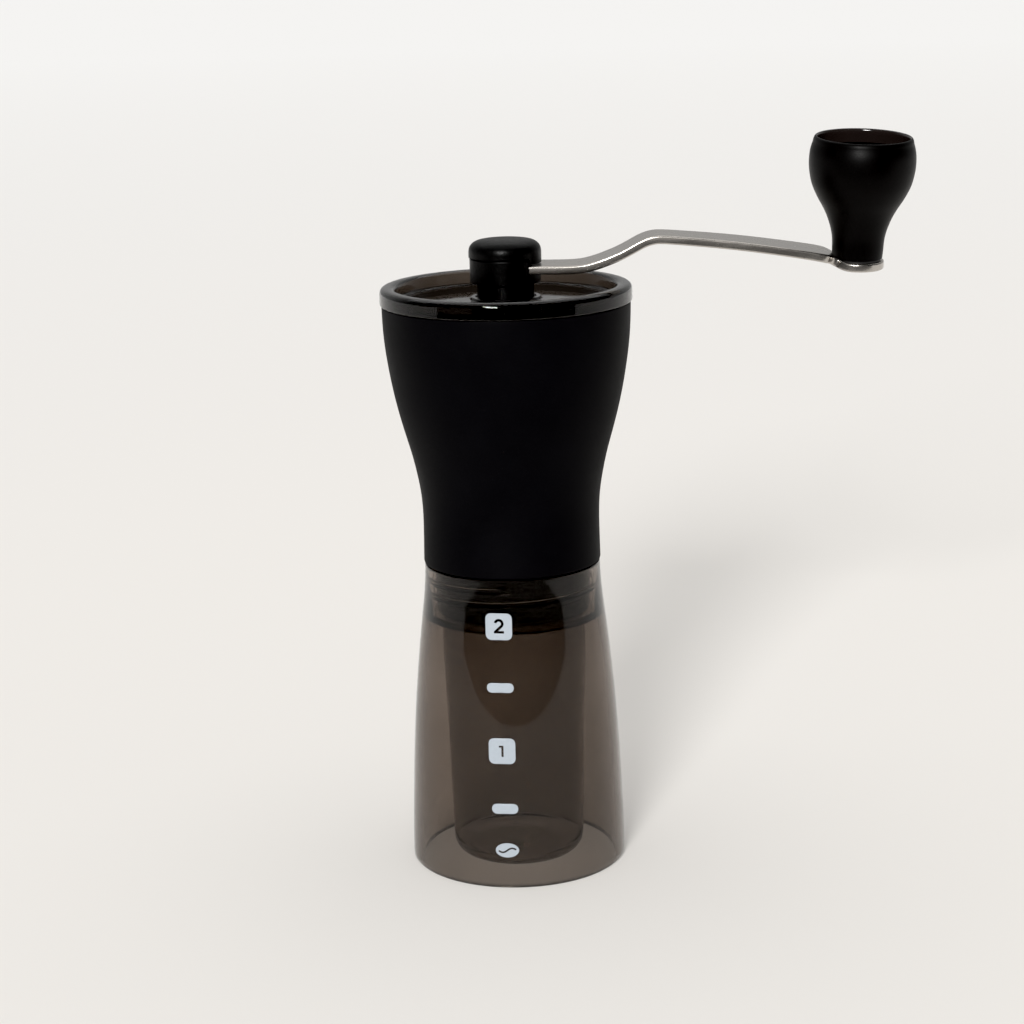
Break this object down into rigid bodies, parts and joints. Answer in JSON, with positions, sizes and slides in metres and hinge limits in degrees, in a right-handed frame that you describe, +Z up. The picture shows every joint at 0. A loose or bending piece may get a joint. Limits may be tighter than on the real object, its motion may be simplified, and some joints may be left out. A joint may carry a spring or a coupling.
{
  "type": "hand crank coffee grinder",
  "caption": "Slim hand coffee mill: smoked grounds jar, waisted black hopper with dished smoked lid, conical ceramic burrs on a steel shaft, cranked strip arm and goblet knob.",
  "frame": {"origin": "centre of the jar's foot ring, on the surface the mill stands on, on the mill's own axis", "axes": "+Z up along the mill's axis; +X from the mill's axis towards the knob at rest; +Y to the back"},
  "size_m": [0.1518, 0.072, 0.2113],
  "materials": {
    "smoked_plastic": "smoked see-through moulding, polished",
    "smoked_lid": "smoked see-through moulding, polished",
    "black_plastic": "fine satin moulding",
    "black_inner_plastic": "plain moulding",
    "hub_plastic": "satin moulding",
    "knob_plastic": "satin outside, glossy inside",
    "bush_acetal": "natural acetal",
    "core_acetal": "natural acetal",
    "washer_nylon": "natural nylon",
    "burr_ceramic": "sintered white ceramic, matt",
    "stainless_satin": "turned stainless",
    "arm_steel": "satin stainless strip",
    "rivet_steel": "polished stainless",
    "spring_steel": "spring wire",
    "insert_brass": "turned brass"
  },
  "bodies": {
    "jar": {"grounds_jar": "smoked_plastic"},
    "hopper": {"hopper_body": "black_plastic", "shaft_guide": "black_inner_plastic", "shaft_bush": "bush_acetal", "burr_carrier": "black_inner_plastic", "outer_burr": "burr_ceramic"},
    "drive": {"drive_shaft": "stainless_satin", "retaining_clip": "spring_steel", "thrust_washer": "stainless_satin", "upper_spring_washer": "stainless_satin", "burr_spring": "spring_steel"},
    "burr": {"inner_burr": "burr_ceramic", "burr_core": "core_acetal", "lower_spring_washer": "stainless_satin"},
    "nut": {"adjusting_nut": "black_inner_plastic", "nut_insert": "insert_brass"},
    "lid": {"lid": "smoked_lid"},
    "crank": {"crank_arm": "arm_steel", "hub_socket": "hub_plastic", "hex_insert": "stainless_satin", "hub_cap": "hub_plastic", "knob_rivet": "rivet_steel", "knob_washer": "washer_nylon"},
    "knob": {"knob": "knob_plastic"}
  },
  "joints": [
    {"name": "hopper_lift", "type": "slide", "parent": "jar", "child": "hopper", "axis": [0, 0, 1], "range_m": [0, 0.035]},
    {"name": "drive_turn", "type": "hinge", "parent": "hopper", "child": "drive", "pos_m": [0, 0, 0.1142], "axis": [0, 0, 1], "continuous": true},
    {"name": "crank_lift", "type": "slide", "parent": "drive", "child": "crank", "axis": [0, 0, 1], "range_m": [0, 0.06]},
    {"name": "lid_lift", "type": "slide", "parent": "hopper", "child": "lid", "axis": [0, 0, 1], "range_m": [0, 0.0361]},
    {"name": "knob_spin", "type": "hinge", "parent": "crank", "child": "knob", "pos_m": [0.10007, -0.00044, 0.18033], "axis": [0.0348, -0.0872, 0.9956], "continuous": true},
    {"name": "burr_travel", "type": "slide", "parent": "drive", "child": "burr", "axis": [0, 0, 1], "range_m": [-0.0012, 0.0004], "deforming": ["burr_spring"]},
    {"name": "nut_turn", "type": "hinge", "parent": "burr", "child": "nut", "pos_m": [0, 0, 0.0756], "axis": [0, 0, 1], "range_deg": [-541, 181]}
  ],
  "couplings": [
    {"joint": "lid_lift", "follows": "crank_lift", "ratio": 0.6},
    {"joint": "nut_turn", "follows": "burr_travel", "rad_per_m": 7854}
  ]
}
